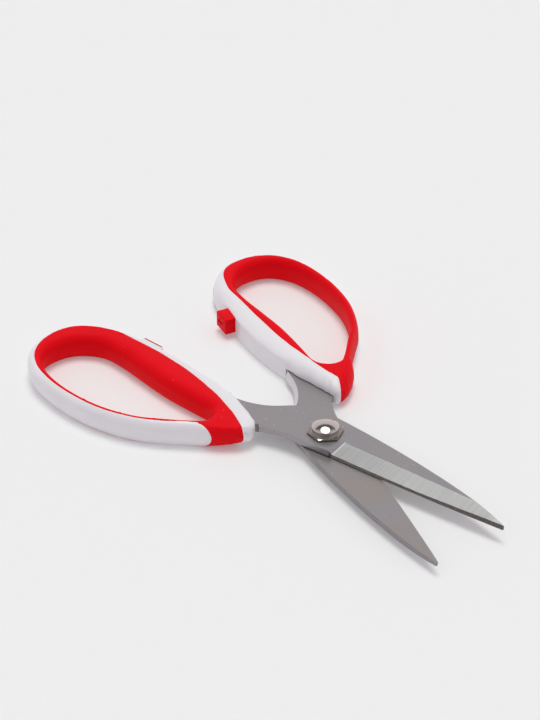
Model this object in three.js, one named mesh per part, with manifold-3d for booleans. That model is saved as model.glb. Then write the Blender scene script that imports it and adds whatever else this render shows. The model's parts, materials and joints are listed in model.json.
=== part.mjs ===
// Sewing scissors with two-colour handles.
// Both halves are one design: a ground blade whose tang is moulded into a white bow handle
// lined with red soft rubber. The upper half is the lower half turned over about the blade's
// long axis. A screw and a domed hexagonal nut join them.
//
// Half frame: the pivot is the z axis, the blade runs along +x, the bow lies on the +y side,
// and z = 0 is the plane where the two blades meet. The lower half fills this frame as it is.

import * as THREE from 'three';
import { mergeVertices } from 'three/addons/utils/BufferGeometryUtils.js';
import Module from 'manifold-3d';

// Driving dimensions, in millimetres and degrees

const OPEN_ANGLE = 21.8;          // between the two halves as they lie
const CLEARANCE = 0.25;           // between neighbouring pieces

const BLADE_THICKNESS = 2.6;
const BLADE_REACH = 86.9;         // pivot to tip
const TIP_RADIUS = 0.7;
const TIP_OFFSET = 0.6;           // tip to the blade's long axis
const SPINE_OFFSET = 10.4;        // pivot to spine
const SPINE_START = -4;           // where the spine leaves the tang
const HEEL_X = 9;                 // start of the ground cutting edge
const HEEL_OFFSET = 8.6;          // pivot axis line to the cutting edge at the heel
const EDGE_BELLY = 5.95;          // fullness of the slightly curved cutting edge
const HONE_DEPTH = 0.1;           // taken off the outline by honing
const EDGE_LAND = 1.0;            // steel left under the bevel at the cutting edge
const EDGE_FACET = 0.55;          // width of the honed facet
const GRIND_START = 0.2;          // grind line's offset at the heel
const GRIND_END_X = 70;           // where the grind line runs out on the spine
const GRIND_END = -3.6;

const TANG_SEAT = 5.5;            // how deep the tang sits in the handle
const LOCK_HOLE_RADIUS = 1.5;     // plastic keys through the tang
const NOTCH_LENGTH = 3.4;         // relief in the tang's edge at the collar
const NOTCH_DEPTH = 1.5;
const NOTCH_TURN = 45;

const HANDLE_THICKNESS = 11.2;
const COLLAR_THICKNESS = 9.4;     // at the nose, where the tang comes out
const TAPER_START = -42;          // the nose thins from here to the collar
const NOSE_X = -22;
const SKIN = 1.8;                 // rubber over the hard core
const ROUND_OUTSIDE = 3.0;        // edge rounding of the bow, outside
const ROUND_COLLAR = 5.5;         // fuller rounding over the tang
const ROUND_INNER = 8;            // rounding towards the other handle
const HOLE_ROUND_INNER = 2.8;     // rounding towards the fingers, on the inner face
const HOLE_ROUND_OUTER = 4.6;
const BELLY_DROP = 1.4;           // widest line of the bow, from mid-height to the outer face
const TONGUE_DEPTH = 2.2;         // white tongue beside the nose band
const TONGUE_PLACE = [-37.1, 32.2];
const TONGUE_TURN = -31;          // square to the rim there

const SHANK_RADIUS = 2.75;
const PIVOT_PLAY = 0.08;          // running clearance of the blades on the shank
const HEAD_RADIUS = 6;
const HEAD_HEIGHT = 2.0;
const SLOT_WIDTH = 1.2;
const SLOT_DEPTH = 0.9;
const HEX_RADIUS = 7.3;
const HEX_HEIGHT = 1.0;
const HEX_CHAMFER = 0.4;
const BOSS_RADIUS = 5.35;
const BOSS_HEIGHT = 1.7;
const DOME_HEIGHT = 1.5;
const NUT_WALL = 1.6;             // metal over the screw's end

const STOP_X = -90.9;             // middle of the closing stop, along the bar
const BUMPER_LENGTH = 8.6;
const BUMPER_HEIGHT = 7.0;
const BUMPER_FACE = -0.9;         // stop faces, from the blade's long axis
const BUMPER_SLOT = 4.0;          // moulded slot in its face: length, height, depth, offset
const BUMPER_SLOT_HEIGHT = 1.0;
const BUMPER_SLOT_DEPTH = 0.8;
const BUMPER_SLOT_SHIFT = -0.7;
const PAD_FACE = 0.25;
const PAD_LENGTH = 9.6;
const PAD_HEIGHT = 8.6;
const PAD_THICKNESS = 0.9;
const BUMPER_ROOT = 5.5;          // end of the bumper's peg inside the bar
const BOSS_ROOT = 3.6;            // where the pad's boss meets the bar
const BOSS_SINK = 1.4;            // and how far it goes in
const BOSS_FLARE = 2.4;           // the boss widens to its root on each side
const PEG_RADIUS = 1.7;
const STOP_EDGE = 0.5;            // small rounding of the stop pieces

// Stations round the finger hole, counterclockwise: a point on the hole's edge, the wall
// square to that edge, and how far the red reaches from the hole on the inner face (towards
// the other half) and on the outer face.
const BOW_ROWS = [
  [-45.6, 33.05, 4.7, 2.5, 2.5],
  [-50, 36.8, 4.6, 2.6, 2.6],
  [-60, 42.3, 4.6, 2.6, 2.6],
  [-74, 46.3, 4.6, 2.6, 2.6],
  [-88, 47.1, 4.8, 2.6, 2.6],
  [-102, 45.2, 5.2, 2.8, 2.8],
  [-112.5, 41, 5.9, 2.9, 2.9],
  [-118.3, 34.5, 7, 4, 4],
  [-118.9, 27, 8.6, 6.2, 6.2],
  [-115.7, 19.3, 10.1, 7, 8.2],
  [-107.2, 13.9, 10.1, 3.9, 8.1],
  [-97, 13.8, 11.5, 3.6, 8.7],
  [-84, 15.6, 13.5, 4.9, 10.5],
  [-70, 17.5, 14.9, 5.8, 11],
  [-56, 18, 13.6, 4.6, 8.9],
];
// Round the nose the hole is an arc, and its stations are given by their angle. Last comes how
// far the collar's lip is cut back over the tang's inner face.
const NOSE_CENTER = [-45.5, 24.5];
const NOSE_ARC = 6.4;
const NOSE_ROWS = [
  [-88, 12, 2.4, 6.1, 2.7],
  [-60, 12.3, 2.9, 5.6, 3.2],
  [-40, 14.6, 4.6, 7.2, 3.3],
  [-28, 17.4, 6.8, 9.4, 3.2],
  [-21, 18.5, 8.6, 10.7, 1.6],
  [-16, 18.3, 10.8, 12.2, 0],
  [-12, 17, 20, 13.6, 0],
  [-8, 15.6, 19, 15.2, 0],
  [-3, 13.8, 17, 17, 0],
  [6, 10.9, 14, 14, 0],
  [18, 8, 11, 11, 0],
  [30, 6.2, 9, 9, 0],
  [40, 5.4, 8, 8, 0],
  [46, 5.1, 3, 3, 0],
  [50, 5, 2.4, 2.4, 0],
];
// The collar, where the bow is rounded more fully, lies between these angles.
const COLLAR_FROM = -70;
const COLLAR_TO = -18;
const STATIONS_PER_ROW = 2;
const HOLE_RISE = 0.85;           // share of the half height that is rounded towards the hole
const LIP_ANGLE = 12;             // start of the rounding above the lip
const BORDER_SWING = 2.5;
const IN_HOLE = -2;               // anywhere inside the hole, clear of the bow
const HOLE_SHARE = 0.42;          // largest share of the wall rounded towards the hole
const EDGE_SHARE = 0.52;          // largest share rounded on the outside

const SEGMENTS = 32;
const OVERCUT = 1;                // cutters reach past what they cut by this

const wasm = await Module();
wasm.setup();

function solid(geometry) {
  const plain = geometry.clone();
  plain.deleteAttribute('normal');
  plain.deleteAttribute('uv');
  const merged = mergeVertices(plain, 1e-4);
  return new wasm.Manifold(new wasm.Mesh({
    numProp: 3,
    vertProperties: new Float32Array(merged.attributes.position.array),
    triVerts: new Uint32Array(merged.index.array),
  }));
}

function piece(name, body, material) {
  const { vertProperties, triVerts } = body.getMesh();
  const geometry = new THREE.BufferGeometry();
  geometry.setAttribute('position', new THREE.BufferAttribute(vertProperties, 3));
  geometry.setIndex(new THREE.BufferAttribute(triVerts, 1));
  geometry.computeVertexNormals();
  const mesh = new THREE.Mesh(geometry, new THREE.MeshStandardMaterial(material));
  mesh.name = name;
  return mesh;
}

// Skin through a row of sections with equal point counts, either round a ring or capped.
function loft(sections, ring) {
  const count = sections[0].length;
  const steps = ring ? sections.length : sections.length - 1;
  const index = [];
  for (let i = 0; i < steps; i += 1) {
    const here = i * count;
    const next = ((i + 1) % sections.length) * count;
    for (let j = 0; j < count; j += 1) {
      const k = (j + 1) % count;
      index.push(here + j, next + j, next + k, here + j, next + k, here + k);
    }
  }
  if (!ring) {
    const last = (sections.length - 1) * count;
    for (let j = 1; j < count - 1; j += 1) {
      index.push(0, j, j + 1, last, last + j + 1, last + j);
    }
  }
  const geometry = new THREE.BufferGeometry();
  geometry.setAttribute('position', new THREE.Float32BufferAttribute(sections.flat(2), 3));
  geometry.setIndex(index);
  return solid(geometry);
}

// Upright prism of a plan shape between two heights. Its edges are rounded inside the shape,
// or with a negative edge the prism is grown by that much on every side.
function prism(shape, bottom, top, edge = 0) {
  const size = Math.abs(edge);
  const inside = Math.max(edge, 0);
  const geometry = new THREE.ExtrudeGeometry(shape, {
    depth: top - bottom - 2 * inside,
    bevelEnabled: size > 0,
    bevelSize: size,
    bevelThickness: size,
    bevelOffset: -inside,
    bevelSegments: edge > 0 ? 3 : 1,
    curveSegments: 6,
  });
  geometry.translate(0, 0, bottom + inside);
  return solid(geometry);
}

function outline(points) {
  return points.map(([x, y]) => new THREE.Vector2(x, y));
}

function rectangle(x0, x1, y0, y1) {
  return new THREE.Shape(outline([[x0, y0], [x1, y0], [x1, y1], [x0, y1]]));
}

function rod(radius, bottom, top) {
  const geometry = new THREE.CylinderGeometry(radius, radius, top - bottom, SEGMENTS);
  geometry.rotateX(Math.PI / 2);
  geometry.translate(0, 0, (bottom + top) / 2);
  return solid(geometry);
}

function turned(profile) {
  const geometry = new THREE.LatheGeometry(outline(profile), SEGMENTS);
  geometry.rotateX(Math.PI / 2);
  return solid(geometry);
}

// Blade and tang

const bladeTop = -CLEARANCE / 2;
const bladeBottom = bladeTop - BLADE_THICKNESS;

const edgeCurve = new THREE.QuadraticBezierCurve(
  new THREE.Vector2(HEEL_X, HEEL_OFFSET),
  new THREE.Vector2((HEEL_X + BLADE_REACH - TIP_RADIUS) / 2, EDGE_BELLY),
  new THREE.Vector2(BLADE_REACH - TIP_RADIUS, TIP_OFFSET + TIP_RADIUS),
);
const lockHoles = [[-43.5, 10.2], [-30.5, 15.6]];
const notchCenter = [-22.4, 14.6];

function bladeOutline() {
  const shape = new THREE.Shape();
  shape.moveTo(HEEL_X, HEEL_OFFSET);
  shape.quadraticCurveTo(edgeCurve.v1.x, edgeCurve.v1.y, edgeCurve.v2.x, edgeCurve.v2.y);
  shape.quadraticCurveTo(BLADE_REACH, TIP_OFFSET, BLADE_REACH - TIP_RADIUS, TIP_OFFSET - TIP_RADIUS);
  shape.bezierCurveTo(
    0.8 * BLADE_REACH, -0.45 * SPINE_OFFSET,
    0.41 * BLADE_REACH, -0.97 * SPINE_OFFSET,
    SPINE_START, -SPINE_OFFSET,
  );
  shape.splineThru(outline([[-13, -9.3], [-20, -6.2], [-28, 0.9], [-37, 5], [-46, 6.2]]));
  shape.lineTo(-49, 8.6);
  shape.lineTo(-47.5, 6.7 + TANG_SEAT);
  shape.lineTo(-28.5, 13.8 + TANG_SEAT);
  shape.lineTo(-25.5, 17.6);
  shape.lineTo(-23, 15);
  shape.splineThru(outline([[-20, 13.4], [-12, 10.9], [0, 9.5], [HEEL_X, HEEL_OFFSET]]));
  return shape;
}

// Sections across the blade from just behind the heel to past the tip, for its two grinds.
function bladeSections(startX, section) {
  const steps = 12;
  const stations = [];
  for (let i = 0; i <= steps; i += 1) {
    const x = startX + (BLADE_REACH + OVERCUT - startX) * (i / steps);
    const along = (x - HEEL_X) / (BLADE_REACH - TIP_RADIUS - HEEL_X);
    const t = THREE.MathUtils.clamp(along, 0, 1);
    const edgeY = edgeCurve.getPoint(t).y - HONE_DEPTH;
    stations.push(section(x, edgeY).map(([y, z]) => [x, y, z]));
  }
  return stations;
}

function makeBlade() {
  const below = bladeBottom - OVERCUT;
  const above = bladeTop + OVERCUT;
  let body = prism(bladeOutline(), bladeBottom, bladeTop);
  body = body.subtract(rod(SHANK_RADIUS + PIVOT_PLAY, below, above));
  for (const [x, y] of lockHoles) {
    body = body.subtract(rod(LOCK_HOLE_RADIUS, below, above).translate([x, y, 0]));
  }
  const notch = rectangle(-NOTCH_LENGTH / 2, NOTCH_LENGTH / 2, -NOTCH_DEPTH / 2, NOTCH_DEPTH / 2);
  const cut = prism(notch, below, above).rotate([0, 0, NOTCH_TURN]);
  body = body.subtract(cut.translate([...notchCenter, 0]));

  const reach = 1.2 * HEEL_OFFSET;
  const grindSlope = (GRIND_END - GRIND_START) / (GRIND_END_X - HEEL_X);
  const bevel = loft(bladeSections(HEEL_X, (x, edgeY) => {
    const grindY = GRIND_START + grindSlope * (x - HEEL_X);
    const landZ = bladeTop - EDGE_LAND;
    const slope = (landZ - bladeBottom) / (edgeY - EDGE_FACET - grindY);
    const at = (y) => [y, bladeBottom + slope * (y - grindY)];
    const [, low] = at(grindY - reach);
    const far = edgeY + reach;
    return [at(far), [far, low], at(grindY - reach)];
  }));
  const hone = loft(bladeSections(HEEL_X - OVERCUT, (x, edgeY) => {
    const lean = EDGE_FACET / EDGE_LAND;
    return [
      [edgeY + reach, above],
      [edgeY + reach, below],
      [edgeY + lean * (below - bladeTop), below],
      [edgeY + lean * OVERCUT, above],
    ];
  }));
  return body.subtract(bevel).subtract(hone);
}

// Bow: rubber-lined ring lofted round the finger hole

const rows = [
  ...BOW_ROWS.map(([x, y, wall, inner, outer]) => (
    { x, y, wall, inner, outer, round: ROUND_OUTSIDE, setback: 0 }
  )),
  ...NOSE_ROWS.map(([angle, wall, inner, outer, setback]) => {
    const a = THREE.MathUtils.degToRad(angle);
    return {
      x: NOSE_CENTER[0] + NOSE_ARC * Math.cos(a),
      y: NOSE_CENTER[1] + NOSE_ARC * Math.sin(a),
      wall,
      inner,
      outer,
      round: angle > COLLAR_FROM && angle < COLLAR_TO ? ROUND_COLLAR : ROUND_OUTSIDE,
      setback,
    };
  }),
];

function closedCurve(pick) {
  return new THREE.CatmullRomCurve3(rows.map((row) => new THREE.Vector3(...pick(row))), true);
}
const holeCurve = closedCurve((row) => [row.x, row.y, 0]);
const wallCurve = closedCurve((row) => [row.wall, row.round, row.setback]);
const redCurve = closedCurve((row) => [row.inner, row.outer, 0]);

// Stations round the whole ring: so many to each row, the first one part of a step along.
function ringStations(perRow, start) {
  const count = rows.length * perRow;
  return Array.from({ length: count }, (_, i) => stationAt((start + i) / count));
}

function stationAt(t) {
  const point = holeCurve.getPoint(t);
  const along = holeCurve.getTangent(t);
  const wall = wallCurve.getPoint(t);
  const red = redCurve.getPoint(t);
  return {
    place: ([u, z]) => {
      const x = point.x + u * along.y;
      const nose = THREE.MathUtils.smoothstep(x, TAPER_START, NOSE_X);
      const thin = THREE.MathUtils.lerp(1, COLLAR_THICKNESS / HANDLE_THICKNESS, nose);
      return [x, point.y - u * along.x, z * thin];
    },
    wall: wall.x,
    round: wall.y,
    setback: wall.z,
    inner: red.x,
    outer: red.y,
  };
}

// Points on an ellipse between two directions.
function corner(u, z, width, height, from, to, steps) {
  const points = [];
  for (let i = 0; i <= steps; i += 1) {
    const a = THREE.MathUtils.degToRad(from + (to - from) * (i / steps));
    points.push([u + width * Math.cos(a), z + height * Math.sin(a)]);
  }
  return points;
}

// The whole bow, inset on all sides. The lower half's inner face is its top.
function bow(inset, steps, perRow) {
  const half = HANDLE_THICKNESS / 2 - inset;
  return loft(ringStations(perRow, 0).map((station) => {
    const width = station.wall - 2 * inset;
    const outside = station.wall - inset;
    const lip = outside - station.setback;
    const holeInner = Math.min(HOLE_ROUND_INNER, HOLE_SHARE * width);
    const holeOuter = Math.min(HOLE_ROUND_OUTER, HOLE_SHARE * width);
    const inner = Math.min(ROUND_INNER, EDGE_SHARE * (lip - inset));
    const outer = Math.min(station.round, EDGE_SHARE * width);
    const rise = HOLE_RISE * half;
    const belly = -BELLY_DROP;
    return [
      ...corner(inset + holeOuter, rise - half, holeOuter, rise, 180, 270, steps),
      ...corner(outside - outer, belly, outer, half + belly, 270, 360, steps),
      ...corner(lip - inner, belly, inner, half - belly, LIP_ANGLE, 90, steps),
      ...corner(inset + holeInner, half - rise, holeInner, rise, 90, 180, steps),
    ].map(station.place);
  }), true);
}

// Everything between the hole and the colour border, less a margin along the border. Its
// stations lie halfway between the bow's, so that no two facets share an edge. Down the side
// the border keeps to its place on the outer face and swings over close to the inner face.
function redZone(margin) {
  const half = HANDLE_THICKNESS / 2;
  const levels = [-1.3, 0, 0.6, 1, 1.3];
  return loft(ringStations(STATIONS_PER_ROW, 0.5).map((station) => {
    const border = levels.map((level) => {
      const swing = THREE.MathUtils.clamp((level + 1) / 2, 0, 1) ** BORDER_SWING;
      return [THREE.MathUtils.lerp(station.outer, station.inner, swing) - margin, level * half];
    });
    const past = levels.at(-1) * half;
    return [[IN_HOLE, -past], ...border, [IN_HOLE, past]].map(station.place);
  }), true);
}

// The white rim ends beside the nose band in a half-round tongue.
function tongue(margin) {
  const radius = HANDLE_THICKNESS / 2 - CLEARANCE + margin;
  const past = 4;
  const geometry = new THREE.CylinderGeometry(radius, radius, TONGUE_DEPTH + margin + past, SEGMENTS);
  geometry.translate(0, (past - TONGUE_DEPTH - margin) / 2, 0);
  geometry.rotateZ(THREE.MathUtils.degToRad(TONGUE_TURN));
  geometry.translate(TONGUE_PLACE[0], TONGUE_PLACE[1], 0);
  return solid(geometry);
}

function makeShell() {
  const white = bow(0, 3, STATIONS_PER_ROW).subtract(redZone(0).subtract(tongue(0)));
  let body = white.add(bow(SKIN, 1, 1)).subtract(prism(bladeOutline(), bladeBottom, bladeTop, -CLEARANCE));
  for (const [x, y] of lockHoles) {
    const key = rod(LOCK_HOLE_RADIUS - CLEARANCE, bladeBottom - OVERCUT, bladeTop + OVERCUT);
    body = body.add(key.translate([x, y, 0]));
  }
  return body;
}

function makeGrip() {
  const zone = redZone(CLEARANCE).subtract(tongue(CLEARANCE));
  return bow(0, 3, STATIONS_PER_ROW).intersect(zone).subtract(bow(SKIN - CLEARANCE, 1, 1));
}

// Closing stop on the bars

function makeBumper() {
  const half = BUMPER_HEIGHT / 2;
  const left = STOP_X - BUMPER_LENGTH / 2;
  const right = STOP_X + BUMPER_LENGTH / 2;
  const block = prism(rectangle(left, right, BUMPER_FACE, BUMPER_ROOT), -half, half, STOP_EDGE);
  const slotLeft = STOP_X + BUMPER_SLOT_SHIFT - BUMPER_SLOT / 2;
  const slot = prism(
    rectangle(slotLeft, slotLeft + BUMPER_SLOT, BUMPER_FACE - OVERCUT, BUMPER_FACE + BUMPER_SLOT_DEPTH),
    -BUMPER_SLOT_HEIGHT / 2,
    BUMPER_SLOT_HEIGHT / 2,
  );
  return block.subtract(bow(-CLEARANCE, 3, STATIONS_PER_ROW)).add(peg(0)).subtract(slot);
}

// The bumper's peg, or with a margin the hole for it in the bar.
function peg(margin) {
  const body = rod(PEG_RADIUS + margin, -BUMPER_ROOT - margin, -BUMPER_FACE - OVERCUT);
  return body.rotate([90, 0, 0]).translate([STOP_X, 0, 0]);
}

const padLeft = STOP_X - PAD_LENGTH / 2;
const padRight = STOP_X + PAD_LENGTH / 2;

function makeBoss() {
  const near = PAD_FACE + PAD_THICKNESS + CLEARANCE;
  const shape = new THREE.Shape();
  shape.moveTo(padLeft, near);
  shape.lineTo(padRight, near);
  shape.quadraticCurveTo(padRight, BOSS_ROOT, padRight + BOSS_FLARE, BOSS_ROOT);
  shape.lineTo(padRight, BOSS_ROOT + BOSS_SINK);
  shape.lineTo(padLeft, BOSS_ROOT + BOSS_SINK);
  shape.lineTo(padLeft - BOSS_FLARE, BOSS_ROOT);
  shape.quadraticCurveTo(padLeft, BOSS_ROOT, padLeft, near);
  return prism(shape, -PAD_HEIGHT / 2, PAD_HEIGHT / 2);
}

function makePad() {
  const shape = rectangle(padLeft, padRight, PAD_FACE, PAD_FACE + PAD_THICKNESS);
  return prism(shape, -PAD_HEIGHT / 2, PAD_HEIGHT / 2);
}

// Pivot

const nutSeat = -bladeBottom + CLEARANCE;

function makeNut() {
  const plateTop = nutSeat + HEX_HEIGHT;
  const bossTop = plateTop + BOSS_HEIGHT;
  const hexagon = new THREE.Shape(outline(corner(0, 0, HEX_RADIUS, HEX_RADIUS, 0, 300, 5)));
  const plate = prism(hexagon, nutSeat, plateTop).intersect(turned([
    [0, nutSeat],
    [HEX_RADIUS, nutSeat],
    [HEX_RADIUS, plateTop - HEX_CHAMFER],
    [HEX_RADIUS - 2 * HEX_CHAMFER, plateTop],
    [0, plateTop],
  ]));
  const dome = corner(0, bossTop, BOSS_RADIUS, DOME_HEIGHT, 0, 90, 6);
  const cap = turned([[0, nutSeat], [BOSS_RADIUS, nutSeat], ...dome.slice(0, -1), [0, bossTop + DOME_HEIGHT]]);
  return plate.add(cap).subtract(rod(SHANK_RADIUS + CLEARANCE, nutSeat - OVERCUT, bossTop - NUT_WALL));
}

function makeScrew() {
  const headTop = bladeBottom - CLEARANCE;
  const headBottom = headTop - HEAD_HEIGHT;
  const tip = nutSeat + HEX_HEIGHT + BOSS_HEIGHT - NUT_WALL - CLEARANCE;
  const edge = 0.35 * HEAD_HEIGHT;
  const body = turned([
    [0, headBottom],
    [HEAD_RADIUS - edge, headBottom],
    [HEAD_RADIUS, headBottom + edge],
    [HEAD_RADIUS, headTop],
    [SHANK_RADIUS, headTop],
    [SHANK_RADIUS, tip],
    [0, tip],
  ]);
  const slot = rectangle(-HEAD_RADIUS - OVERCUT, HEAD_RADIUS + OVERCUT, -SLOT_WIDTH / 2, SLOT_WIDTH / 2);
  return body.subtract(prism(slot, headBottom - OVERCUT, headBottom + SLOT_DEPTH));
}

// Assembly

const STEEL = { color: 0xa8a6a6, metalness: 0.9, roughness: 0.35 };
const NICKEL = { color: 0xc8c4bc, metalness: 0.95, roughness: 0.2 };
const WHITE = { color: 0xefefed, metalness: 0, roughness: 0.45 };
const RED = { color: 0xd0141e, metalness: 0, roughness: 0.6 };

const blade = makeBlade();
const shell = makeShell();
const grip = makeGrip();

const lowerHalf = new THREE.Group();
lowerHalf.rotation.z = THREE.MathUtils.degToRad(-OPEN_ANGLE / 2);
lowerHalf.add(
  piece('lower_blade', blade, STEEL),
  piece('thumb_handle', shell.subtract(peg(CLEARANCE)), WHITE),
  piece('thumb_grip', grip, RED),
  piece('stop_bumper', makeBumper(), RED),
);

const turnedOver = new THREE.Group();
turnedOver.rotation.x = Math.PI;
turnedOver.add(
  piece('upper_blade', blade, STEEL),
  piece('finger_handle', shell.add(makeBoss()), WHITE),
  piece('finger_grip', grip, RED),
  piece('stop_pad', makePad(), RED),
);
const upperHalf = new THREE.Group();
upperHalf.rotation.z = THREE.MathUtils.degToRad(OPEN_ANGLE / 2);
upperHalf.add(turnedOver);

const scissors = new THREE.Group();
scissors.add(
  lowerHalf,
  upperHalf,
  piece('pivot_screw', makeScrew(), NICKEL),
  piece('pivot_nut', makeNut(), NICKEL),
);

// The scissors lie on the table, with the middle of their footprint at the origin.
const bounds = new THREE.Box3().setFromObject(scissors, true);
const middle = bounds.getCenter(new THREE.Vector3());
scissors.position.set(-middle.x, -middle.y, -bounds.min.z);

export default scissors;
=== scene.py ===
"""Looks for a pair of sewing scissors that lie partly open on a pale table.

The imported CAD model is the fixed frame. Each section below is one piece or one group of like
pieces, in the order in which the scissors are put together.
"""

import json
import math

import bmesh
import bpy
import numpy as np
from mathutils import Matrix, Vector


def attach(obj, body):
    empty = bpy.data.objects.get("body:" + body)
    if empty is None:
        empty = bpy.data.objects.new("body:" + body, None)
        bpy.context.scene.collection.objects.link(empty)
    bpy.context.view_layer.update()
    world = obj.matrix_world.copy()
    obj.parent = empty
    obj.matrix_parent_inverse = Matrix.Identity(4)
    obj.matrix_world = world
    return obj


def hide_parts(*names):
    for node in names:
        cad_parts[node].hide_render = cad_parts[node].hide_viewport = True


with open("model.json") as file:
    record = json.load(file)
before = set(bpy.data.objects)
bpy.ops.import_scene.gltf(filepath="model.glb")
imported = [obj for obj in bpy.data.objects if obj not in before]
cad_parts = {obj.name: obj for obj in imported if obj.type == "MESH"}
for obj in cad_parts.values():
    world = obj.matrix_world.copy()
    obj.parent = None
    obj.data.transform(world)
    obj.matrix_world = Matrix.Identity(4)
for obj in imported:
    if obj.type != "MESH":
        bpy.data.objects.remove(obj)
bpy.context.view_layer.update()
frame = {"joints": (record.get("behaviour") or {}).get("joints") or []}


# The blades: stamped from 2.6 mm steel plate, satin ground on the flats. The outer face is
# hollow ground to a bevel with brush lines across it, and a steep honed facet ends in the edge.
# Both are one shape, and the upper one is turned over about its long axis.
OPEN_ANGLE = math.radians(21.8)
BLADE_TOP = -0.125
BLADE_BOTTOM = -2.725
HEEL_X, HEEL_Y = 9.0, 8.5
TIP_X, TIP_Y, TIP_ROUND = 86.9, 0.6, 0.5
EDGE_BELLY, EDGE_BACK = 5.95, 0.1
SPINE_END = (-4.0, -10.4)
SPINE = ((TIP_X, TIP_Y - TIP_ROUND), (69.5, -4.68), (35.6, -10.09), SPINE_END)
GRIND_FROM, GRIND_TO = (HEEL_X, 0.2), (70.0, -3.6)
PLUNGE = 0.9
EDGE_LAND, TIP_LAND, LAND_GROWS = 1.0, 1.5, (50.0, 80.0)
FACET_LEAN, FACET_MOST = 0.55, 0.7
TANG_INSIDE = (SPINE_END, (-13, -9.3), (-20, -6.2), (-28, 0.9), (-37, 5), (-47.2, 6.4))
TANG_END = ((-50, 8.6), (-47.5, 12.2), (-28.5, 19.3), (-25.5, 17.6))
TANG_NOTCH = ((-23.03, 15.03), (-24.13, 13.93), (-23.07, 12.87), (-21.66, 14.28))
TANG_OUTSIDE = ((-21.66, 14.28), (-20, 13.4), (-12, 10.9), (0, 9.5), (HEEL_X, HEEL_Y))
NOTCH_MOUTH = (0.6, 0.3, 0.0)
INNER_RELIEF, RELIEF_RUN = 1.3, 8.0
BROKEN_EDGE = 0.1
BORE_RADIUS, BORE_SIDES = 2.83, 96
SPINE_STEPS, TANG_STEPS, BLADE_STEPS = 90, 10, 72
TIP_STEPS = np.array([0.3, 0.55, 0.75, 0.9, 0.97])

# Each half is modelled in its own frame, in millimetres: the pivot is z, the blade points
# along +x, the bow lies towards +y and the other half lies above z = 0.
at_pivot = Matrix.Translation(frame["joints"][0]["pos_m"]) @ Matrix.Scale(0.001, 4)
HALF_PLACES = {
    "lower_half": at_pivot @ Matrix.Rotation(-OPEN_ANGLE / 2, 4, "Z"),
    "upper_half": at_pivot
    @ Matrix.Rotation(OPEN_ANGLE / 2, 4, "Z")
    @ Matrix.Rotation(math.pi, 4, "X"),
}


class Wire:
    """An output socket in a node tree. Arithmetic on wires adds Math nodes."""

    def __init__(self, tree, socket):
        self.tree = tree
        self.socket = socket

    @classmethod
    def add(cls, tree, kind, settings=None, sockets=None, output=0):
        node = tree.nodes.new(kind)
        for name, value in (settings or {}).items():
            if name == "stops":
                ramp = node.color_ramp.elements
                while len(ramp) < len(value):
                    ramp.new(1.0)
                for stop, (place, colour) in zip(ramp, value):
                    stop.position = place
                    stop.color = (*colour, 1.0)
            elif name == "choices":
                while len(node.index_switch_items) < value:
                    node.index_switch_items.new()
            else:
                setattr(node, name, value)
        for key, value in (sockets or {}).items():
            if isinstance(value, Wire):
                tree.links.new(value.socket, node.inputs[key])
            else:
                node.inputs[key].default_value = value
        return cls(tree, node.outputs[output])

    def maths(self, operation, *others):
        sockets = dict(enumerate((self, *others)))
        return Wire.add(self.tree, "ShaderNodeMath", {"operation": operation}, sockets)

    def __add__(self, other):
        return self.maths("ADD", other)

    __radd__ = __add__

    def __sub__(self, other):
        return self.maths("SUBTRACT", other)

    def __neg__(self):
        return self.maths("MULTIPLY", -1.0)

    def __mul__(self, other):
        return self.maths("MULTIPLY", other)

    __rmul__ = __mul__

    def __truediv__(self, other):
        return self.maths("DIVIDE", other)

    def __pow__(self, other):
        return self.maths("POWER", other)

    def at_most(self, other):
        return self.maths("MINIMUM", other)

    def parts(self):
        node = Wire.add(self.tree, "ShaderNodeSeparateXYZ", None, {0: self}).socket.node
        return [Wire(self.tree, socket) for socket in node.outputs]


def new_material(name, **constants):
    """A material whose shader has these constants, and its tree and shader for the rest."""
    material = bpy.data.materials.new(name)
    material.use_nodes = True
    shader = material.node_tree.nodes["Principled BSDF"]
    for socket, value in constants.items():
        shader.inputs[socket.replace("_", " ")].default_value = value
    return material, material.node_tree, shader


def feed(shader, **wires):
    for name, wire in wires.items():
        wire.tree.links.new(wire.socket, shader.inputs[name.replace("_", " ")])


def noise(tree, place, scale, detail=2.0, stretch=(1, 1, 1)):
    """Noise from 0 to 1 on a place in millimetres, drawn out where stretch is small."""
    drawn = Wire.add(tree, "ShaderNodeMapping", None, {"Vector": place, "Scale": stretch})
    sockets = {"Vector": drawn, "Scale": scale, "Detail": detail}
    return Wire.add(tree, "ShaderNodeTexNoise", None, sockets)


def blend(tree, share, first, second):
    """Colour between two colours."""
    sockets = {0: share, 6: first, 7: second}
    return Wire.add(tree, "ShaderNodeMix", {"data_type": "RGBA"}, sockets, 2)


def ramped(tree, value, low, high):
    """0 below low, 1 above high, and smooth between."""
    sockets = {"Value": value, "From Min": low, "From Max": high}
    return Wire.add(tree, "ShaderNodeMapRange", {"interpolation_type": "SMOOTHSTEP"}, sockets)


def bumped(tree, height, depth):
    return Wire.add(tree, "ShaderNodeBump", None, {"Height": height, "Distance": depth})


def half_place(tree):
    """Place in the half's own frame, in millimetres, kept on the mesh."""
    return Wire.add(tree, "ShaderNodeAttribute", {"attribute_name": "half_mm"}, None, "Vector")


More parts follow.
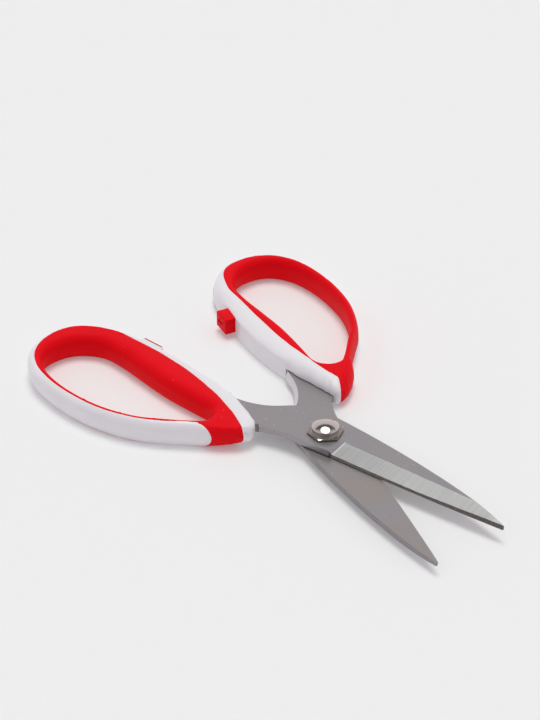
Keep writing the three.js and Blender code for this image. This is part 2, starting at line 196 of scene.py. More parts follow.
def satin_steel():
    """Flats and inner faces: fine lengthwise grain, faint warm clouds, a painted warm reflection on
    the inner face of the blade, a few handling marks.
    """
    material, tree, shader = new_material("satin_steel", Metallic=1.0)
    place = half_place(tree)
    grain = noise(tree, place, scale=1.0, detail=3.0, stretch=(0.25, 6.0, 6.0))
    clouds = noise(tree, place, scale=0.045)
    specks = noise(tree, place, scale=0.9, detail=0.0)
    marks = ramped(tree, specks, 0.80, 0.86)
    x, _, z = place.parts()
    # Painted reflection: the warm clouds grow stronger over the inner face of the blade, for a warm
    # reflection there; elsewhere they are a faint tone of the steel.
    inner = ramped(tree, z, -0.5, -0.2) * ramped(tree, x, 12.0, 40.0)
    warm_tone_and_reflection = ramped(tree, clouds, 0.36, 0.62) * (0.25 + 0.75 * inner)
    cool_grey = (0.42, 0.412, 0.415, 1)
    warm_grey = (0.43, 0.395, 0.365, 1)
    mark_grey = (0.8, 0.8, 0.8, 1)
    base = blend(tree, warm_tone_and_reflection, cool_grey, warm_grey)
    base = blend(tree, marks * 0.4, base, mark_grey)
    feed(
        shader,
        Base_Color=base,
        Roughness=0.30 + 0.07 * grain + 0.05 * clouds,
        Normal=bumped(tree, grain, 0.000004),
    )
    return material


def ground_steel():
    """The bevel: wheel lines straight across it, brighter than the flats, and a painted highlight
    line at the heel where the grind starts, for the glint off its rounded edge."""
    material, tree, shader = new_material("ground_steel", Metallic=1.0)
    place = half_place(tree)
    fine = noise(tree, place, scale=1.0, stretch=(7.0, 0.10, 0.10))
    broad = noise(tree, place, scale=1.0, detail=1.0, stretch=(0.8, 0.03, 0.03))
    lines = 0.6 * fine + 0.4 * broad
    dark_line = (0.37, 0.366, 0.37, 1)
    light_line = (0.455, 0.449, 0.455, 1)
    heel_highlight_grey = (0.6, 0.6, 0.6, 1)
    base = blend(tree, ramped(tree, lines, 0.3, 0.7), dark_line, light_line)
    x, _, _ = place.parts()
    # Painted highlight: a bright band across the bevel just past the heel, for the glint off the
    # rounded edge where the grind starts.
    start = HEEL_X + PLUNGE
    heel = ramped(tree, x, start - 0.1, start + 0.1) - ramped(tree, x, start + 0.5, start + 0.8)
    base = blend(tree, heel, base, heel_highlight_grey)
    feed(
        shader,
        Base_Color=base,
        Roughness=0.26 + 0.16 * lines,
        Normal=bumped(tree, lines, 0.000012),
    )
    return material


def honed_steel():
    """The steep facet at the cutting edge: painted dark and even, for the shade and the dark
    reflection along the edge, with lines along it.
    """
    material, tree, shader = new_material("honed_steel", Metallic=1.0)
    place = half_place(tree)
    lines = noise(tree, place, scale=1.0, stretch=(0.12, 5.0, 5.0))
    # Painted shade and reflection: a very dark steel colour for the shade along the edge and the
    # dark room the facet reflects.
    dark_line = (0.13, 0.115, 0.105, 1)
    light_line = (0.18, 0.16, 0.15, 1)
    base = blend(tree, lines, dark_line, light_line)
    feed(shader, Base_Color=base, Roughness=0.22 + 0.1 * lines)
    return material


def cut_steel():
    """Sheared and tumbled edges: duller than the faces, with a painted highlight on the rounded
    inside edge of the tang and painted shade along the side of the blade."""
    material, tree, shader = new_material("cut_steel", Metallic=1.0)
    place = half_place(tree)
    tooth = noise(tree, place, scale=1.0, stretch=(3.0, 3.0, 0.4))
    x, y, _ = place.parts()
    dark_tooth = (0.34, 0.32, 0.335, 1)
    light_tooth = (0.40, 0.38, 0.395, 1)
    highlight_grey = (0.74, 0.71, 0.735, 1)
    shaded_side_grey = (0.29, 0.272, 0.285, 1)
    base = blend(tree, tooth, dark_tooth, light_tooth)
    # Painted highlight: a pale band on the inside edge of the tang, for the light caught by its
    # rounding.
    inside_edge_highlight = ramped(tree, -x, 8.0, 16.0) * ramped(tree, -y, -10.0, -8.0)
    base = blend(tree, inside_edge_highlight, base, highlight_grey)
    # Painted shade: the side of the blade is darker, for the shade along it.
    base = blend(tree, ramped(tree, x, 4.0, 14.0), base, shaded_side_grey)
    feed(
        shader,
        Base_Color=base,
        Roughness=0.38 + 0.12 * tooth,
        Normal=bumped(tree, tooth, 0.00001),
    )
    return material


def bezier(points, count):
    """Points along a cubic curve, both ends included."""
    a, b, c, d = (np.array(p, float) for p in points)
    t = np.linspace(0, 1, count)[:, None]
    return (1 - t) ** 3 * a + 3 * t * (1 - t) ** 2 * b + 3 * t**2 * (1 - t) * c + t**3 * d


def smooth_path(points, per_span):
    """Points along a smooth curve through the given ones, both ends included."""
    p = np.array(points, float)
    p = np.vstack([p[0], p, p[-1]])
    path = []
    for a, b, c, d in zip(p, p[1:], p[2:], p[3:]):
        for t in np.arange(per_span) / per_span:
            start, end = (c - a) / 2, (d - b) / 2
            path.append(
                (2 * t**3 - 3 * t**2 + 1) * b
                + (t**3 - 2 * t**2 + t) * start
                + (3 * t**2 - 2 * t**3) * c
                + (t**3 - t**2) * end
            )
    return path + [p[-1]]


spine_line = bezier(SPINE, SPINE_STEPS)[::-1]


def spine_y(x):
    return np.interp(x, spine_line[:, 0], spine_line[:, 1])


def edge_y(x):
    t = (x - HEEL_X) / (TIP_X - HEEL_X)
    heel, tip = HEEL_Y + EDGE_BACK, TIP_Y + TIP_ROUND
    return (1 - t) ** 2 * heel + 2 * t * (1 - t) * EDGE_BELLY + t**2 * tip - EDGE_BACK


def blade_section(x):
    """Corners across the ground blade: spine, grind line, facet, edge, and the spine again."""
    if x <= TIP_X:
        spine, edge = spine_y(x), edge_y(x)
    else:
        turn = math.sqrt(max(0.0, 1 - 2 * (x - TIP_X) / TIP_ROUND)) * TIP_ROUND
        spine, edge = TIP_Y - turn, TIP_Y + turn - EDGE_BACK
    land = np.interp(x, LAND_GROWS, (EDGE_LAND, TIP_LAND))
    facet = min(FACET_LEAN * land, FACET_MOST * (edge - spine))
    share = (x - GRIND_FROM[0]) / (GRIND_TO[0] - GRIND_FROM[0])
    grind = GRIND_FROM[1] + share * (GRIND_TO[1] - GRIND_FROM[1])
    slope = (BLADE_TOP - land - BLADE_BOTTOM) / (edge - FACET_LEAN * land - grind)
    least_flat = 0.02
    start = max(grind, spine + least_flat)
    lift = BLADE_BOTTOM + slope * (start - grind)
    spine_z = BLADE_BOTTOM + max(0.0, slope * (spine - grind))
    return [
        (x, spine, spine_z),
        (x, start, lift),
        (x, edge - facet, BLADE_TOP - land),
        (x, edge, BLADE_TOP),
        (x, spine, BLADE_TOP),
    ]


def blade_mesh():
    bm = bmesh.new()
    ahead = np.concatenate(
        [
            np.linspace(HEEL_X + PLUNGE, TIP_X, BLADE_STEPS),
            TIP_X + TIP_ROUND / 2 * TIP_STEPS,
        ]
    )
    heel = [
        (HEEL_X, spine_y(HEEL_X), BLADE_BOTTOM),
        (*GRIND_FROM, BLADE_BOTTOM),
        (HEEL_X, HEEL_Y, BLADE_BOTTOM),
        (HEEL_X, HEEL_Y, BLADE_TOP),
        (HEEL_X, spine_y(HEEL_X), BLADE_TOP),
    ]
    rings = [[bm.verts.new(p) for p in section] for section in [heel, *map(blade_section, ahead)]]
    finish = (0, 1, 2, 0, 3)  # flat, bevel, facet, inner face, spine
    for here, there in zip(rings, rings[1:]):
        for i, slot in enumerate(finish):
            k = (i + 1) % len(finish)
            face = bm.faces.new((here[i], there[i], there[k], here[k]))
            face.material_index = slot
    bm.faces.new(rings[-1]).material_index = 2

    # The plate behind the heel: one outline for both faces, from the heel round the tang.
    # The relief notch runs out towards the inner face, where the inside edge is eased back.
    outside = smooth_path(TANG_OUTSIDE, TANG_STEPS)[-2::-1]
    inside = np.array(smooth_path(TANG_INSIDE, TANG_STEPS)[::-1])
    spine = [p for p in spine_line if SPINE_END[0] < p[0] < HEEL_X]
    along = np.gradient(inside, axis=0)
    along /= np.linalg.norm(along, axis=1, keepdims=True)
    ease = INNER_RELIEF * np.clip((SPINE_END[0] - inside[:, :1]) / RELIEF_RUN, 0, 1)
    eased = inside + ease * np.stack([-along[:, 1], along[:, 0]], 1)
    corner, far_corner = np.array(TANG_NOTCH[0]), np.array(TANG_NOTCH[3])
    mouth = [corner + share * (far_corner - corner) for share in NOTCH_MOUTH]
    heel_ring = rings[0]
    low_line = [*outside, *TANG_NOTCH[2::-1], *TANG_END[::-1], *inside, *spine]
    high_line = [*outside, *mouth, *TANG_END[::-1], *eased, *spine]
    low = [bm.verts.new((*p, BLADE_BOTTOM)) for p in low_line]
    high = [bm.verts.new((*p, BLADE_TOP)) for p in high_line]
    low_loop = [heel_ring[2], *low, heel_ring[0]]
    high_loop = [heel_ring[3], *high, heel_ring[4]]
    bm.faces.new([heel_ring[1], *low_loop])
    bm.faces.new(high_loop)
    for i in range(len(low_loop) - 1):
        wall = bm.faces.new((low_loop[i], low_loop[i + 1], high_loop[i + 1], high_loop[i]))
        wall.material_index = 3
    bmesh.ops.recalc_face_normals(bm, faces=bm.faces)
    mesh = bpy.data.meshes.new("blade")
    bm.to_mesh(mesh)
    bm.free()
    return mesh


def worked(mesh, *steps):
    """The mesh after these modifiers, each given by its type and settings."""
    tool = bpy.data.objects.new("work", mesh)
    bpy.context.scene.collection.objects.link(tool)
    for kind, settings in steps:
        modifier = tool.modifiers.new(kind, kind)
        for key, value in settings.items():
            setattr(modifier, key, value)
    evaluated = tool.evaluated_get(bpy.context.evaluated_depsgraph_get())
    done = bpy.data.meshes.new_from_object(evaluated)
    bpy.data.objects.remove(tool)
    return done


def cut_from(mesh, cutter):
    """The mesh less the cutter."""
    tool = bpy.data.objects.new("cutter", cutter)
    bpy.context.scene.collection.objects.link(tool)
    done = worked(mesh, ("BOOLEAN", {"object": tool, "operation": "DIFFERENCE", "solver": "EXACT"}))
    bpy.data.objects.remove(tool)
    return done


def bore_mesh():
    """What the screw's shank takes out of a blade."""
    bm = bmesh.new()
    sizes = {"radius1": BORE_RADIUS, "radius2": BORE_RADIUS, "depth": -3 * BLADE_BOTTOM}
    bmesh.ops.create_cone(bm, cap_ends=True, segments=BORE_SIDES, **sizes)
    mesh = bpy.data.meshes.new("bore")
    bm.to_mesh(mesh)
    bm.free()
    return mesh


def settle(name, mesh, body, materials, slot, *nodes, smooth=30, place=None):
    """Put a mesh of a half's frame in its place, on its body, for the nodes it stands for."""
    mesh = mesh.copy()
    mesh.name = name
    places = np.empty(len(mesh.vertices) * 3, np.float32)
    mesh.vertices.foreach_get("co", places)
    mesh.attributes.new("half_mm", "FLOAT_VECTOR", "POINT").data.foreach_set("vector", places)
    mesh.transform(place or HALF_PLACES[body])
    for material in materials:
        mesh.materials.append(material)
    mesh.shade_smooth()
    mesh.set_sharp_from_angle(angle=math.radians(smooth))
    piece = bpy.data.objects.new(name, mesh)
    bpy.context.scene.collection.objects.link(piece)
    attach(piece, body)
    if nodes:
        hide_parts(*nodes)
    return piece


rounded = {
    "width": BROKEN_EDGE,
    "segments": 2,
    "limit_method": "ANGLE",
    "angle_limit": math.radians(20),
}
blade = cut_from(worked(blade_mesh(), ("BEVEL", rounded)), bore_mesh())
steels = [satin_steel(), ground_steel(), honed_steel(), cut_steel()]
settle("lower_blade_steel", blade, "lower_half", steels, "blade_steel", "lower_blade", smooth=7)
settle("upper_blade_steel", blade, "upper_half", steels, "blade_steel", "upper_blade", smooth=7)


# The bows: a hard white handle moulded round the tang, and soft red rubber moulded over it
# round the finger hole. One ring, lofted round the hole, is cut along the colour border into
# the two skins, with a fine groove where they meet.
HANDLE_THICKNESS = 11.2
COLLAR_THICKNESS = 9.4
TAPER = (-42.0, -22.0)
HOLE_ROUND_INNER, HOLE_ROUND_OUTER = 2.8, 4.6
HOLE_ROUND_HEIGHT = 0.85  # share of half the thickness
HOLE_ROUND_MOST, EDGE_MOST = 0.42, 0.52  # shares of the wall
TONGUE_PLACE, TONGUE_TURN = (-37.1, 32.2), math.radians(-31)
TONGUE_RADIUS, TONGUE_DEPTH = 5.35, 2.2
SKIN = 1.2
GROOVE_WIDTH, GROOVE_DEPTH = 0.22, 0.14
SLOT_GAP, SLOT_TUCK = 0.3, 0.1
STATION_STEP = 0.75
CORNER_STEPS, SLOT_STEPS, COLLAR_STEPS, RIM_STEPS = 14, 6, 8, 24

# Stations round the hole: its edge, the wall square to it on the thumb and the finger handle,
# and how far the red reaches from the hole on the inner face and on the outer face.
BOW_ROWS = (
    (-45.8, 32.85, 3.2, 5.2, 2.5, 2.4),
    (-50.7, 36.1, 3.5, 5.5, 2.8, 3),
    (-60.1, 42.1, 4, 4.8, 2.9, 2.6),
    (-74, 46.3, 4.6, 4.6, 2.9, 2.6),
    (-88, 47.1, 4.8, 4.8, 2.9, 2.6),
    (-102, 45.2, 5.2, 5.2, 3.0, 2.8),
    (-112.5, 41, 5.9, 5.9, 3.0, 3.1),
    (-118.3, 34.5, 7, 7, 3.4, 4),
    (-118.9, 27, 8.3, 8.6, 5, 6.2),
    (-115.7, 19.3, 9.4, 10.1, 6, 8.2),
    (-107.2, 13.9, 9.2, 10.1, 3.9, 8.1),
    (-97, 13.8, 9.6, 10.6, 3.6, 8.7),
    (-84, 15.6, 12.4, 12.8, 4.9, 10.5),
    (-70, 17.5, 13.5, 13.8, 5.8, 11),
    (-56, 18, 12.0, 13.1, 4.6, 8.9),
    (-50, 18.05, 10.7, 12.6, 3.4, 7.4),
)
# Round the nose the hole is an arc: angle, and the walls.
NOSE_CENTER, NOSE_ARC = (-45.5, 24.5), 6.4
NOSE_ROWS = (
    (-88, 9.25, 12),
    (-60, 9.1, 12.2),
    (-40, 11.25, 14.6),
    (-28, 14.2, 17.3),
    (-24, 16, 18),
    (-20, 17.4, 18.3),
    (-16, 17.7, 18.1),
    (-12, 17, 17),
    (-8, 15.8, 15.8),
    (-3, 14.2, 14.2),
    (6, 11.3, 11.3),
    (18, 8.4, 8.6),
    (30, 6.4, 6.8),
    (40, 4.9, 5.8),
    (49, 3.9, 5.3),
)
# Edge roundings as width and height, on the outer and the inner face: round the rim, along
# the straight bar with its flat side, and over the collar.
RIM_EDGES = (3.0, 4.2, 8.0, 7.0)
BAR_EDGES = (1.0, 1.0, 7.0, 2.6)
COLLAR_EDGES = (3.0, 2.6, 6.0, 5.0)
BAR_ROWS = range(11, 16)
COLLAR_ANGLES = (-90, -15)
# The colour border over the collar, in plan, on the inner and the outer face. From there it
# runs clear of the nose to the white tongue, where the rim's border begins.
INNER_BORDER = (
    (-45.2, 15.7),
    (-40.8, 16.4),
    (-37.1, 17.4),
    (-33.9, 18.3),
    (-31.5, 19.1),
    (-29.9, 20),
    (-27.8, 20.5),
    (-25.2, 20.2),
    (-21, 19.2),
)
OUTER_BORDER = ((-45.2, 12.0), (-39.5, 14.1), (-35.3, 15.6), (-31.3, 17.0))
OUTER_ENDS = {
    "thumb": ((-28.3, 18.2), (-25.3, 18.7), (-21, 18.4)),
    "finger": ((-28.3, 18.6), (-25.3, 20.3), (-21, 22.6)),
}
# By the waist of the thumb handle the red reaches further, down the side, within these ranges
# of x, y and z, and the white tongue ends at a height.
SIDE_COVER = {"thumb": 4.0, "finger": 0.0}
COVER_RAMPS = ((-94, -76), (24, 30), (-2.3, -1.5))
TONGUE_TOP = {"thumb": -1.9, "finger": HANDLE_THICKNESS}
BORDER_SWING = 2.5  # power of the height, from the outer border to the inner one
CLEAR_OF_NOSE = ((-17, 27), (-21, 37), (-34.5, 36.5))
INNER_WAIST, OUTER_WAIST = (-38.6, 31.2), (-38.6, 30.6)


def ring_curve(points, t):
    """Centripetal spline round a closed row of points, at places counted in rows."""
    p = np.array(points, float)
    i = np.floor(t).astype(int)
    w = (t - i)[:, None]
    a, b, c, d = (p[(i + k) % len(p)] for k in (-1, 0, 1, 2))
    steps = (b - a, c - b, d - c)
    spans = [np.sqrt(np.linalg.norm(step, axis=1, keepdims=True)) for step in steps]
    none = 1e-4
    middle = np.where(spans[1] < none, 1.0, spans[1])
    first, last = (np.where(span < none, middle, span) for span in (spans[0], spans[2]))
    start = ((b - a) / first - (c - a) / (first + middle) + (c - b) / middle) * middle
    end = ((c - b) / middle - (d - b) / (middle + last) + (d - c) / last) * middle
    return (
        b
        + start * w
        + (3 * (c - b) - 2 * start - end) * w**2
        + (2 * (b - c) + start + end) * w**3
    )


hole_rows = [row[:2] for row in BOW_ROWS]
edge_rows = [BAR_EDGES if i in BAR_ROWS else RIM_EDGES for i in range(len(BOW_ROWS))]
for angle, *_ in NOSE_ROWS:
    turn = math.radians(angle)
    x, y = NOSE_CENTER[0] + NOSE_ARC * math.cos(turn), NOSE_CENTER[1] + NOSE_ARC * math.sin(turn)
    hole_rows.append((x, y))
    edge_rows.append(COLLAR_EDGES if COLLAR_ANGLES[0] < angle < COLLAR_ANGLES[1] else RIM_EDGES)


def outward_at(t):
    """Direction square to the hole's edge, away from the hole."""
    step = 0.05
    along = ring_curve(hole_rows, t + step) - ring_curve(hole_rows, t - step)
    along /= np.linalg.norm(along, axis=1, keepdims=True)
    return np.stack([along[:, 1], -along[:, 0]], 1)


def rail_mesh(walls):
    """A vertex for each station on the hole's edge, with what the loft needs there."""
    samples = 4001
    fine = np.linspace(0, len(hole_rows), samples)
    outline = ring_curve(hole_rows, fine) + outward_at(fine) * ring_curve(walls, fine)
    length = np.concatenate([[0], np.cumsum(np.linalg.norm(np.diff(outline, axis=0), axis=1))])
    count = round(length[-1] / STATION_STEP)
    t = np.interp(np.arange(count) * length[-1] / count, length, fine)

    mesh = bpy.data.meshes.new("rail")
    mesh.from_pydata([(x, y, 0.0) for x, y in ring_curve(hole_rows, t)], [], [])
    edges = ring_curve(edge_rows, t)
    kept = {
        "outward": np.pad(outward_at(t), ((0, 0), (0, 1))),
        "outer_edge": np.hstack([ring_curve(walls, t), edges[:, :2]]),
        "inner_edge": np.pad(edges[:, 2:], ((0, 0), (0, 1))),
    }
    for name, values in kept.items():
        attribute = mesh.attributes.new(name, "FLOAT_VECTOR", "POINT")
        attribute.data.foreach_set("vector", values.astype(np.float32).ravel())
    return mesh


def bow_tree():
    """Geometry nodes that loft the bow's section round the rail."""
    tree = bpy.data.node_groups.new("bow", "GeometryNodeTree")
    tree.interface.new_socket("Rail", in_out="INPUT", socket_type="NodeSocketGeometry")
    for name in ("Stations", "Corner Steps"):
        tree.interface.new_socket(name, in_out="INPUT", socket_type="NodeSocketInt")
    sizes = ("Thickness", "Collar Thickness", "Hole Round", "Hole Round Outer")
    for name in sizes:
        tree.interface.new_socket(name, in_out="INPUT", socket_type="NodeSocketFloat")
    tree.interface.new_socket("Finish", in_out="INPUT", socket_type="NodeSocketMaterial")
    tree.interface.new_socket("Bow", in_out="OUTPUT", socket_type="NodeSocketGeometry")
    inputs = tree.nodes.new("NodeGroupInput").outputs

    def given(name):
        return Wire(tree, inputs[name])

    def add(kind, settings=None, sockets=None, output=0):
        return Wire.add(tree, kind, settings, sockets, output)

    per_corner = given("Corner Steps") + 1
    across = 4 * per_corner
    counts = {"Vertices X": given("Stations") + 1, "Vertices Y": across + 1}
    grid = add("GeometryNodeMeshGrid", None, counts)
    index = add("GeometryNodeInputIndex")
    row = (index / (across + 1)).maths("FLOOR")
    column = (index - row * (across + 1)).maths("MODULO", across)
    station = row.maths("MODULO", given("Stations"))

    def on_rail(name):
        vector = {"data_type": "FLOAT_VECTOR"}
        if name == "position":
            value = add("GeometryNodeInputPosition")
        else:
            value = add("GeometryNodeInputNamedAttribute", vector, {"Name": name})
        sockets = {"Geometry": given("Rail"), "Value": value, "Index": station}
        return add("GeometryNodeSampleIndex", vector, sockets).parts()

    hole_x, hole_y, _ = on_rail("position")
    out_x, out_y, _ = on_rail("outward")
    wall, outer_width, outer_height = on_rail("outer_edge")
    inner_width, inner_height, _ = on_rail("inner_edge")

    # Four quarter ellipses make the section: hole and outside on the outer face, then outside
    # and hole on the inner face.
    corner = (column / per_corner).maths("FLOOR")
    along = (column - corner * per_corner) / given("Corner Steps")
    angle = math.pi + math.pi / 2 * (corner + along)
    half = given("Thickness") / 2
    rise = HOLE_ROUND_HEIGHT * half
    hole_outer = given("Hole Round Outer").at_most(HOLE_ROUND_MOST * wall)
    hole_inner = given("Hole Round").at_most(HOLE_ROUND_MOST * wall)
    outer = outer_width.at_most(EDGE_MOST * wall)
    inner = inner_width.at_most(EDGE_MOST * wall)

    def of_corner(*values):
        sockets = {0: corner, **{i + 1: value for i, value in enumerate(values)}}
        return add("GeometryNodeIndexSwitch", {"data_type": "FLOAT", "choices": 4}, sockets)

    radius = of_corner(hole_outer, outer, inner, hole_inner)
    height = of_corner(rise, outer_height, inner_height, rise)
    middle_u = of_corner(hole_outer, wall - outer, wall - inner, hole_inner)
    middle_z = of_corner(rise - half, outer_height - half, half - inner_height, half - rise)
    u = middle_u + radius * angle.maths("COSINE")
    z = middle_z + height * angle.maths("SINE")
    x = hole_x + u * out_x
    y = hole_y + u * out_y
    taper = {"Value": x, "From Min": TAPER[0], "From Max": TAPER[1], "To Min": 1.0}
    taper["To Max"] = given("Collar Thickness") / given("Thickness")
    thin = add("ShaderNodeMapRange", {"interpolation_type": "SMOOTHSTEP"}, taper)

    placed = add("ShaderNodeCombineXYZ", None, {0: x, 1: y, 2: z * thin})
    bow = add("GeometryNodeSetPosition", None, {"Geometry": grid, "Position": placed})
    seam = {"Geometry": bow, "Distance": 1e-3}
    closed = add("GeometryNodeMergeByDistance", None, seam)
    real = add("GeometryNodeRealizeInstances", None, {"Geometry": closed})
    finished = add("GeometryNodeSetMaterial", None, {"Geometry": real, "Material": given("Finish")})
    output = tree.nodes.new("NodeGroupOutput")
    tree.links.new(finished.socket, output.inputs["Bow"])
    return tree


def red_rubber():
    """Soft matt rubber: fine moulded grain and a slight unevenness of colour."""
    material, tree, shader = new_material("red_rubber", Specular_IOR_Level=0.08)
    place = half_place(tree)
    grain = noise(tree, place, scale=5.0, detail=3.0)
    clouds = noise(tree, place, scale=0.12)
    dust = ramped(tree, noise(tree, place, scale=0.75, detail=0.0), 0.835, 0.86)
    deep_red = (0.78, 0.0008, 0.006, 1)
    bright_red = (0.85, 0.0014, 0.009, 1)
    dusty_red = (0.9, 0.35, 0.35, 1)
    base = blend(tree, clouds, deep_red, bright_red)
    base = blend(tree, dust * 0.35, base, dusty_red)
    feed(
        shader,
        Base_Color=base,
        Roughness=0.52 + 0.10 * grain,
        Normal=bumped(tree, grain, 0.00002),
    )
    return material


def white_plastic():
    """Hard satin plastic: smooth, faintly clouded, with the mould's very fine texture."""
    material, tree, shader = new_material("white_plastic", Specular_IOR_Level=0.5)
    place = half_place(tree)
    texture = noise(tree, place, scale=3.0)
    clouds = noise(tree, place, scale=0.1)
    cool_white = (0.83, 0.815, 0.84, 1)
    light_white = (0.86, 0.85, 0.868, 1)
    base = blend(tree, clouds, cool_white, light_white)
    feed(
        shader,
        Base_Color=base,
        Roughness=0.30 + 0.08 * texture + 0.05 * clouds,
        Normal=bumped(tree, texture, 0.000008),
    )
    return material


def lofted(rail, tree, finish):
    """The bow as a plain mesh."""
    tool = bpy.data.objects.new("rail", rail)
    bpy.context.scene.collection.objects.link(tool)
    modifier = tool.modifiers.new("bow", "NODES")
    modifier.node_group = tree
    sizes = {
        "Stations": len(rail.vertices),
        "Corner Steps": CORNER_STEPS,
        "Thickness": HANDLE_THICKNESS,
        "Collar Thickness": COLLAR_THICKNESS,
        "Hole Round": HOLE_ROUND_INNER,
        "Hole Round Outer": HOLE_ROUND_OUTER,
        "Finish": finish,
    }
    for item in tree.interface.items_tree:
        if item.in_out == "INPUT" and item.name in sizes:
            modifier[item.identifier] = sizes[item.name]
    evaluated = tool.evaluated_get(bpy.context.evaluated_depsgraph_get())
    mesh = bpy.data.meshes.new_from_object(evaluated)
    bpy.data.objects.remove(tool)
    return mesh


def tang_slot():
    """What the tang takes out of a handle: its outline, with a gap at the tail and tucked in
    where it shows, and its thickness."""
    inside = smooth_path(TANG_INSIDE, SLOT_STEPS)[SLOT_STEPS:]
    outline = [*inside, *TANG_END, TANG_NOTCH[0], *TANG_OUTSIDE[:3]]
    middle = np.mean(outline, axis=0)
    bm = bmesh.new()
    low = bm.faces.new([bm.verts.new((*p, BLADE_BOTTOM)) for p in outline])
    bm.normal_update()
    raised = bmesh.ops.extrude_face_region(bm, geom=[low])["geom"]
    top = [v for v in raised if isinstance(v, bmesh.types.BMVert)]
    bmesh.ops.translate(bm, vec=(0, 0, BLADE_TOP + SLOT_GAP - BLADE_BOTTOM), verts=top)
    bmesh.ops.recalc_face_normals(bm, faces=bm.faces)
    for v in bm.verts:
        away = (v.co.xy - Vector(middle)).normalized()
        v.co.xy += away * (SLOT_GAP if v.co.x < TANG_END[1][0] else -SLOT_TUCK)
    mesh = bpy.data.meshes.new("slot")
    bm.to_mesh(mesh)
    bm.free()
    return mesh


def past_loop(points, loop):
    """Distance of plan points to a closed loop, positive outside it."""
    start, end = loop, np.roll(loop, -1, axis=0)
    nearest = np.full(len(points), np.inf)
    inside = np.zeros(len(points), bool)
    for a, b in zip(start, end):
        if np.allclose(a, b):
            continue
        side = b - a
        share = np.clip((points - a) @ side / (side @ side), 0, 1)
        nearest = np.minimum(nearest, np.linalg.norm(points - a - share[:, None] * side, axis=1))
        crosses = (a[1] > points[:, 1]) != (b[1] > points[:, 1])
        if a[1] != b[1]:
            at = a[0] + (points[:, 1] - a[1]) / side[1] * side[0]
            inside ^= crosses & (points[:, 0] < at)
    return np.where(inside, -nearest, nearest)


def past_border(points, digit):
    """How far each point lies past the colour border. Down the side the border keeps to its
    place on the outer face and swings over close to the inner face."""
    count = len(BOW_ROWS)
    t = np.linspace(0, count - 1, RIM_STEPS * count)
    reaches = [row[4:] for row in BOW_ROWS]
    reach = ring_curve([*reaches, reaches[-1], reaches[-1], reaches[0]], t)
    nose = np.clip((points[:, 0] - TAPER[0]) / (TAPER[1] - TAPER[0]), 0, 1)
    thickness = HANDLE_THICKNESS + (COLLAR_THICKNESS - HANDLE_THICKNESS) * nose**2 * (3 - 2 * nose)
    swing = np.clip(points[:, 2] / thickness + 0.5, 0, 1) ** BORDER_SWING
    past = 0
    inner = (0, INNER_BORDER, INNER_WAIST, swing)
    outer = (1, OUTER_BORDER + OUTER_ENDS[digit], OUTER_WAIST, 1 - swing)
    for column, over_collar, waist, share in (inner, outer):
        rim = ring_curve(hole_rows, t) + outward_at(t) * reach[:, column : column + 1]
        collar = smooth_path([rim[-1], *over_collar], COLLAR_STEPS)[1:]
        loop = np.vstack([rim, collar, CLEAR_OF_NOSE, [waist]])
        past = past + share * past_loop(points[:, :2], loop)
    cover = SIDE_COVER[digit]
    for values, (low, high) in zip(points.T, COVER_RAMPS):
        cover = cover * np.clip((values - low) / (high - low), 0, 1)
    past = past - cover
    axis = np.array((-math.sin(TONGUE_TURN), math.cos(TONGUE_TURN)))
    offset = points[:, :2] - TONGUE_PLACE
    depth = offset @ axis
    along = offset @ (axis[1], -axis[0])
    tongue = np.minimum(TONGUE_RADIUS - np.hypot(along, points[:, 2]), depth + TONGUE_DEPTH)
    return np.maximum(past, np.minimum(tongue, TONGUE_TOP[digit] - points[:, 2]))


def split_at(points, field, faces, level):
    """Cut faces along a level of the field on their corners, so that none crosses it."""
    snap = 0.02
    points, field = list(points), list(field)
    field = [level if abs(value - level) < snap else value for value in field]
    crossings = {}

    def crossing(a, b):
        key = (min(a, b), max(a, b))
        if key not in crossings:
            share = (level - field[a]) / (field[b] - field[a])
            crossings[key] = len(points)
            points.append(points[a] + share * (points[b] - points[a]))
            field.append(level)
        return crossings[key]

    done = []
    for face in faces:
        sides = [field[v] - level for v in face]
        if min(sides) >= 0 or max(sides) <= 0:
            done.append(face)
            continue
        above, below = [], []
        for a, b in zip(face, [*face[1:], face[0]]):
            if field[a] >= level:
                above.append(a)
            if field[a] <= level:
                below.append(a)
            if (field[a] - level) * (field[b] - level) < 0:
                cut = crossing(a, b)
                above.append(cut)
                below.append(cut)
        done += [part for part in (above, below) if len(part) > 2]
    return points, field, done


def two_skins(mesh, digit):
    """The white and the red skin of a lofted bow, each a closed shell with a grooved border."""
    bm = bmesh.new()
    bm.from_mesh(mesh)
    bmesh.ops.recalc_face_normals(bm, faces=bm.faces)
    points = [v.co.copy() for v in bm.verts]
    field = past_border(np.array(points), digit).tolist()
    faces = [[v.index for v in face.verts] for face in bm.faces]
    bm.free()
    for level in (-GROOVE_WIDTH, 0.0, GROOVE_WIDTH):
        points, field, faces = split_at(points, field, faces, level)

    skins = []
    for side in (1, -1):
        bm = bmesh.new()
        made = {}
        for face in faces:
            if side * sum(field[v] for v in face) > 0:
                for v in face:
                    if v not in made:
                        made[v] = bm.verts.new(points[v])
                bm.faces.new([made[v] for v in face])
        bm.normal_update()
        for v, vert in made.items():
            if field[v] == 0.0:
                vert.co -= GROOVE_DEPTH * vert.normal
        skin = bpy.data.meshes.new("skin")
        bm.to_mesh(skin)
        bm.free()
        skins.append(worked(skin, ("SOLIDIFY", {"thickness": SKIN, "offset": -1.0})))
    return skins


plastic = white_plastic()
rubber = red_rubber()
for column, body, digit in ((2, "lower_half", "thumb"), (3, "upper_half", "finger")):
    walls = [row[column : column + 1] for row in BOW_ROWS]
    walls += [row[column - 1 : column] for row in NOSE_ROWS]
    bow = cut_from(lofted(rail_mesh(walls), bow_tree(), plastic), tang_slot())
    shell, lining = two_skins(bow, digit)
    handle, grip = f"{digit}_handle", f"{digit}_grip"
    settle(f"{digit}_shell", shell, body, [plastic], "handle_shell", handle, smooth=40)
    settle(f"{digit}_lining", lining, body, [rubber], "soft_grip", grip, smooth=40)


